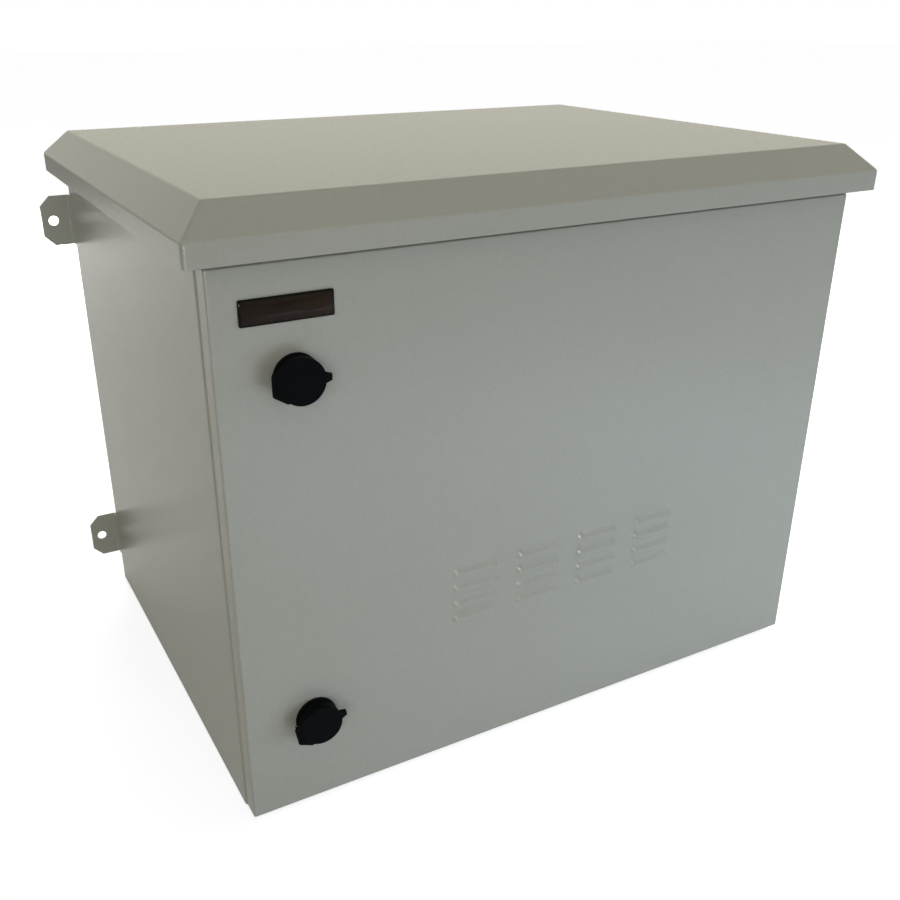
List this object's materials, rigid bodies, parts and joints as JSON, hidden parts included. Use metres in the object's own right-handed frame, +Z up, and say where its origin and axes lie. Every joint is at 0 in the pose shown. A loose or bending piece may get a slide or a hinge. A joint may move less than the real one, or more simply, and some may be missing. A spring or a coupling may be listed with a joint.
{
  "type": "utility cabinet",
  "caption": "Outdoor wall cabinet for rack equipment: folded steel box with a hipped rain hood, louvred hinged door, quarter-turn locks, wall ears and rack rails inside.",
  "frame": {"origin": "middle of the bottom of the overall box", "axes": "+X to the right seen from the door, +Y from the door to the wall, +Z up"},
  "size_m": [0.657, 0.4836, 0.51],
  "materials": {
    "body_paint": "semi-gloss powder coat, fine orange peel",
    "rail_zinc": "zinc plated, satin",
    "steel_fasteners": "zinc plated",
    "lock_black": "black satin coat",
    "black_rubber": "matte",
    "gasket_foam": "matte foam",
    "filter_felt": "felt",
    "badge_brown": "glossy dome"
  },
  "bodies": {
    "cabinet": {"body_earth_nut": "steel_fasteners", "body_earth_stud": "body_paint", "body_wrap": "body_paint", "cable_grommets": "black_rubber", "depth_channel_left_lower": "body_paint", "depth_channel_left_upper": "body_paint", "depth_channel_right_lower": "body_paint", "depth_channel_right_upper": "body_paint", "ear_bolts": "steel_fasteners", "ear_nuts": "steel_fasteners", "floor_panel": "body_paint", "gland_plate": "rail_zinc", "gland_screws": "steel_fasteners", "gland_seal": "black_rubber", "hinge_body_leaf_lower": "rail_zinc", "hinge_body_leaf_upper": "rail_zinc", "hinge_screws": "steel_fasteners", "hood_screws": "steel_fasteners", "hood_spacers": "body_paint", "rack_rail_front_left": "rail_zinc", "rack_rail_front_right": "rail_zinc", "rack_rail_rear_left": "rail_zinc", "rack_rail_rear_right": "rail_zinc", "rail_bolts": "steel_fasteners", "rail_nuts": "steel_fasteners", "roof_hood": "body_paint", "top_panel": "body_paint", "wall_ear_left_lower": "body_paint", "wall_ear_left_upper": "body_paint", "wall_ear_right_lower": "body_paint", "wall_ear_right_upper": "body_paint"},
    "door": {"badge_plate": "badge_brown", "door_earth_nut": "steel_fasteners", "door_earth_stud": "body_paint", "door_gasket": "gasket_foam", "door_panel": "body_paint", "filter_nuts": "steel_fasteners", "filter_pad": "filter_felt", "filter_retainer": "rail_zinc", "filter_studs": "body_paint", "flap_pins": "steel_fasteners", "flap_spring_lower": "steel_fasteners", "flap_spring_upper": "steel_fasteners", "hinge_door_leaf_lower": "body_paint", "hinge_door_leaf_upper": "body_paint", "hinge_pin_lower": "steel_fasteners", "hinge_pin_upper": "steel_fasteners", "lock_housing_lower": "lock_black", "lock_housing_upper": "lock_black", "lock_nuts": "steel_fasteners", "lock_seals": "black_rubber"},
    "cam_upper": {"cam_screw_upper": "steel_fasteners", "lock_cam_upper": "steel_fasteners", "lock_core_upper": "steel_fasteners"},
    "cam_lower": {"cam_screw_lower": "steel_fasteners", "lock_cam_lower": "steel_fasteners", "lock_core_lower": "steel_fasteners"},
    "flap_upper": {"lock_flap_upper": "lock_black"},
    "flap_lower": {"lock_flap_lower": "lock_black"}
  },
  "joints": [
    {"name": "door_swing", "type": "hinge", "parent": "cabinet", "child": "door", "pos_m": [0.295, -0.21325, 0.235], "axis": [0, 0, 1], "range_deg": [0, 120]},
    {"name": "cam_upper_turn", "type": "hinge", "parent": "door", "child": "cam_upper", "pos_m": [-0.2408, -0.204, 0.3841], "axis": [0, 1, 0], "range_deg": [0, 90]},
    {"name": "cam_lower_turn", "type": "hinge", "parent": "door", "child": "cam_lower", "pos_m": [-0.2408, -0.204, 0.0874], "axis": [0, 1, 0], "range_deg": [0, 90]},
    {"name": "flap_upper_swing", "type": "hinge", "parent": "door", "child": "flap_upper", "pos_m": [-0.2603, -0.23715, 0.3841], "axis": [0, 0, -1], "range_deg": [0, 110], "stiffness_Nm_per_rad": 0.02, "springref_deg": -28.65},
    {"name": "flap_lower_swing", "type": "hinge", "parent": "door", "child": "flap_lower", "pos_m": [-0.25999, -0.23715, 0.08391], "axis": [0.1788, 0, -0.9839], "range_deg": [0, 110], "stiffness_Nm_per_rad": 0.02, "springref_deg": -28.65}
  ]
}
